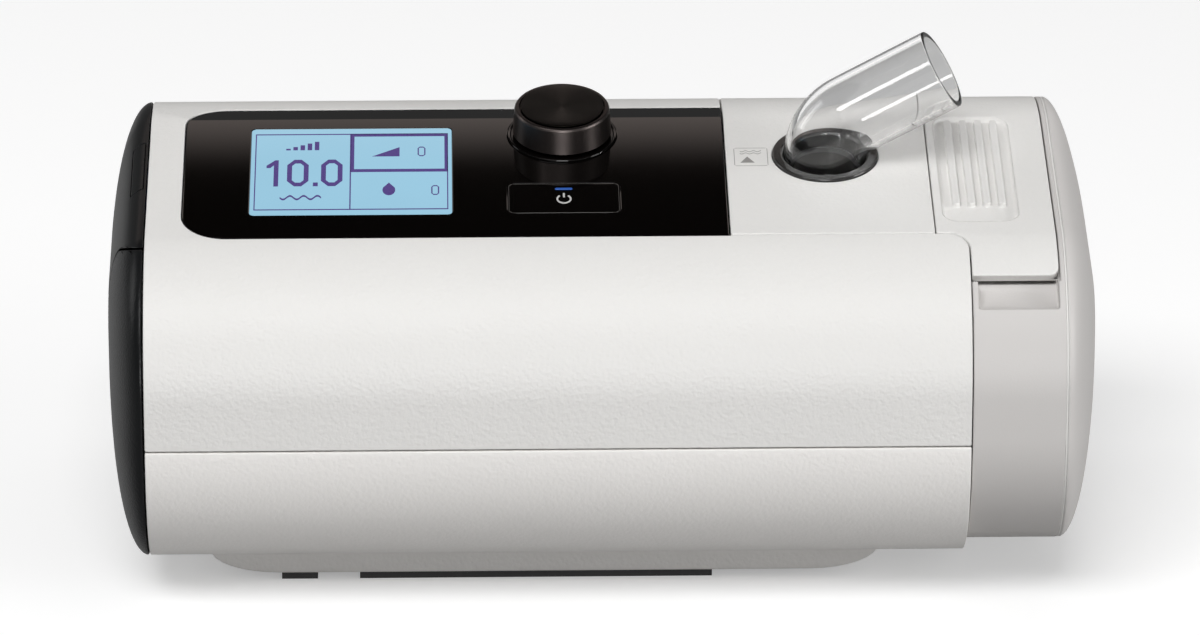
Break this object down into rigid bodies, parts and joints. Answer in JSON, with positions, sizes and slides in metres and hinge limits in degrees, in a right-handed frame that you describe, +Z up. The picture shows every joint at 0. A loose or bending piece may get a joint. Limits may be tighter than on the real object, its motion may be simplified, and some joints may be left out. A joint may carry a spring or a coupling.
{
  "type": "CPAP machine",
  "caption": "Bench-top breathing-therapy blower with display, turn-and-push knob, power button, swivelling 22 mm hose outlet and slide-out heated humidifier with hinged lid.",
  "frame": {"origin": "centre of the footprint, at the height of the surface that the rubber feet stand on", "axes": "+X along the machine from the display end to the humidifier end, -Y is the front that faces the user, +Z up"},
  "size_m": [0.2651, 0.14, 0.143],
  "materials": {
    "white_shell": "fine pebbled grain",
    "warm_grey_shell": "fine pebbled grain",
    "grey_shell": "fine matt",
    "black_gloss": "gloss",
    "black_satin": "satin",
    "black_grain": "fine grain",
    "lens_black": "high gloss",
    "lcd": "backlit display behind the lens",
    "spun_black_metal": "black anodised, spun finish",
    "smoked_plastic": "smoked gloss",
    "clear_plastic": "clear polycarbonate",
    "tub_plastic": "clear tub",
    "steel": "brushed",
    "heater_alu": "satin",
    "silicone": "matt",
    "black_rubber": "matt",
    "blue_led": "light guide",
    "pcb": "solder mask",
    "foam": "open-cell foam",
    "dark_plastic": "moulded",
    "grey_plastic": "moulded",
    "card_blue": "moulded"
  },
  "bodies": {
    "main_unit": {"lower_casing": "warm_grey_shell", "upper_casing": "white_shell", "outlet_panel": "white_shell", "left_end_cap": "black_satin", "side_panel": "black_grain", "air_filter": "foam", "inlet_foam": "foam", "card_socket": "steel", "memory_card": "card_blue", "pedestal": "warm_grey_shell", "rubber_feet": "black_rubber", "base_screws": "steel", "display_lens": "lens_black", "display_frame": "dark_plastic", "lcd_screen": "lcd", "control_board": "pcb", "main_board": "pcb", "knob_bezel": "black_gloss", "encoder_body": "grey_plastic", "button_switch": "dark_plastic", "outlet_collar": "smoked_plastic", "outlet_plenum": "grey_plastic", "blower_base": "dark_plastic", "blower_cover": "dark_plastic", "blower_mounts": "silicone", "motor_stator": "steel", "motor_bearings": "steel", "blower_duct": "dark_plastic", "dock_wall": "warm_grey_shell", "dock_seals": "silicone", "heater_tray": "dark_plastic", "heater_plate": "heater_alu", "power_socket": "black_satin"},
    "filter_cover": {"filter_cover": "black_grain"},
    "card_door": {"card_door": "black_satin"},
    "push_plunger": {"encoder_plunger": "steel"},
    "knob": {"encoder_shaft": "steel", "knob_body": "black_gloss", "knob_cap": "spun_black_metal"},
    "power_button": {"power_button": "black_gloss", "led_light_guide": "blue_led"},
    "elbow": {"outlet_elbow": "clear_plastic", "elbow_seal": "silicone"},
    "rotor": {"motor_shaft": "steel", "impeller": "grey_plastic"},
    "humidifier": {"water_tub": "tub_plastic", "tub_deck": "tub_plastic", "tub_base_plate": "steel", "chamber_shell": "grey_shell", "end_cover": "grey_shell", "lid_hinge_pin": "steel"},
    "lid": {"humidifier_lid": "white_shell", "lid_grip": "white_shell", "lid_seal": "silicone"}
  },
  "joints": [
    {"name": "knob_push", "type": "slide", "parent": "main_unit", "child": "push_plunger", "axis": [0, 0.2028, -0.9792], "range_m": [0, 0.0008], "stiffness_N_per_m": 600},
    {"name": "knob_turn", "type": "hinge", "parent": "push_plunger", "child": "knob", "pos_m": [-0.01, 0.00894, 0.11017], "axis": [0, -0.2028, 0.9792], "continuous": true},
    {"name": "power_press", "type": "slide", "parent": "main_unit", "child": "power_button", "axis": [0, 0.2028, -0.9792], "range_m": [0, 0.0005], "stiffness_N_per_m": 500},
    {"name": "elbow_swivel", "type": "hinge", "parent": "main_unit", "child": "elbow", "pos_m": [0.0599, -0.00252, 0.1078], "axis": [0, -0.2028, 0.9792], "continuous": true},
    {"name": "humidifier_slide", "type": "slide", "parent": "main_unit", "child": "humidifier", "axis": [1, 0, 0], "range_m": [0, 0.1]},
    {"name": "lid_hinge", "type": "hinge", "parent": "humidifier", "child": "lid", "pos_m": [0.1, 0.04185, 0.10199], "axis": [-1, 0, 0], "range_deg": [0, 12]},
    {"name": "card_door_hinge", "type": "hinge", "parent": "main_unit", "child": "card_door", "pos_m": [-0.12425, -0.0054, 0.10426], "axis": [0, -0.9792, -0.2028], "range_deg": [0, 85]},
    {"name": "filter_cover_pull", "type": "slide", "parent": "main_unit", "child": "filter_cover", "axis": [-1, 0, 0], "range_m": [0, 0.012]},
    {"name": "blower_spin", "type": "hinge", "parent": "main_unit", "child": "rotor", "pos_m": [-0.062, 0, 0.03], "axis": [0, 0, 1], "continuous": true}
  ]
}
